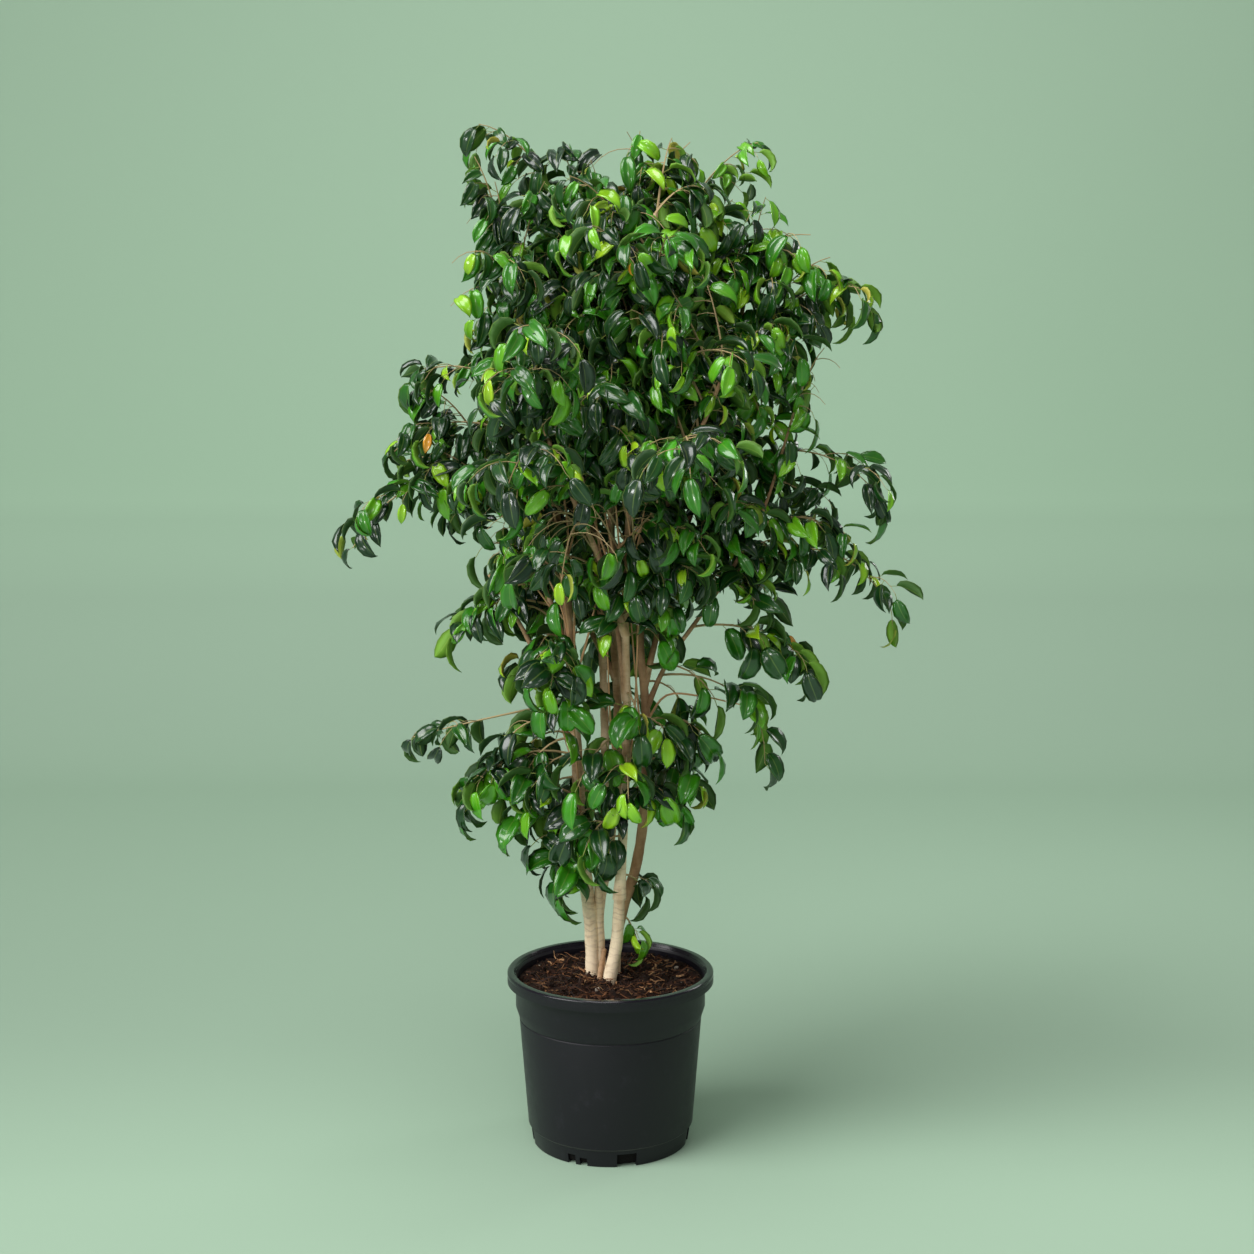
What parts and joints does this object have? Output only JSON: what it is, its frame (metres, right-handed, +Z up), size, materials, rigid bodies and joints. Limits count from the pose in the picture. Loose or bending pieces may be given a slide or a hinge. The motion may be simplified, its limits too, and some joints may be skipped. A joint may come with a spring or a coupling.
{
  "type": "potted weeping fig",
  "caption": "Weeping fig with several pale stems in a round black nursery pot, its arching twigs hung with glossy, pointed green leaves.",
  "frame": {"origin": "centre of the pot's base, on the surface that the pot stands on", "axes": "+Z up; -Y towards the viewer of the front, and +X to that viewer's right"},
  "size_m": [0.7899, 0.7197, 1.4515],
  "materials": {
    "pot_plastic": "satin",
    "potting_mix": "matte",
    "bark": "matte",
    "leafy_spray": "satin"
  },
  "bodies": {
    "root": {"back_stem": "bark", "cut_stub": "bark", "front_stem": "bark", "left_stem": "bark", "pot": "pot_plastic", "potting_mix": "potting_mix", "right_stem": "bark", "spray_back_ring_1_1": "leafy_spray", "spray_back_ring_2_1": "leafy_spray", "spray_back_ring_2_2": "leafy_spray", "spray_back_ring_3_1": "leafy_spray", "spray_back_ring_3_2": "leafy_spray", "spray_back_ring_4_1": "leafy_spray", "spray_back_ring_5_1": "leafy_spray", "spray_back_ring_5_2": "leafy_spray", "spray_back_ring_6_1": "leafy_spray", "spray_back_ring_7_1": "leafy_spray", "spray_foot_shoot": "leafy_spray", "spray_front_inner_high": "leafy_spray", "spray_front_inner_left": "leafy_spray", "spray_front_inner_middle": "leafy_spray", "spray_front_inner_right": "leafy_spray", "spray_front_low_fringe": "leafy_spray", "spray_front_middle_fringe": "leafy_spray", "spray_front_ring_1_1": "leafy_spray", "spray_front_ring_1_2": "leafy_spray", "spray_front_ring_2_1": "leafy_spray", "spray_front_ring_2_2": "leafy_spray", "spray_front_ring_2_3": "leafy_spray", "spray_front_ring_3_1": "leafy_spray", "spray_front_ring_3_2": "leafy_spray", "spray_front_ring_3_3": "leafy_spray", "spray_front_ring_4_1": "leafy_spray", "spray_front_ring_4_2": "leafy_spray", "spray_front_ring_5_1": "leafy_spray", "spray_front_upper_fringe": "leafy_spray", "spray_left_edge_high": "leafy_spray", "spray_left_edge_low": "leafy_spray", "spray_left_high_arm": "leafy_spray", "spray_left_long_arm": "leafy_spray", "spray_left_low_arm": "leafy_spray", "spray_left_low_bunch": "leafy_spray", "spray_left_low_hanging": "leafy_spray", "spray_left_middle_bunch": "leafy_spray", "spray_left_upper_arm": "leafy_spray", "spray_low_right_shoot": "leafy_spray", "spray_right_dark_bunch": "leafy_spray", "spray_right_edge": "leafy_spray", "spray_right_hanging": "leafy_spray", "spray_right_high_tip": "leafy_spray", "spray_right_long_arm": "leafy_spray", "spray_right_low": "leafy_spray", "spray_right_middle_arm": "leafy_spray", "spray_right_shoulder": "leafy_spray", "spray_right_upper_arm": "leafy_spray", "spray_top_left_middle": "leafy_spray", "spray_top_left_sprig": "leafy_spray", "spray_top_middle": "leafy_spray", "spray_top_middle_right": "leafy_spray", "spray_top_right_sprig": "leafy_spray"}
  },
  "joints": []
}
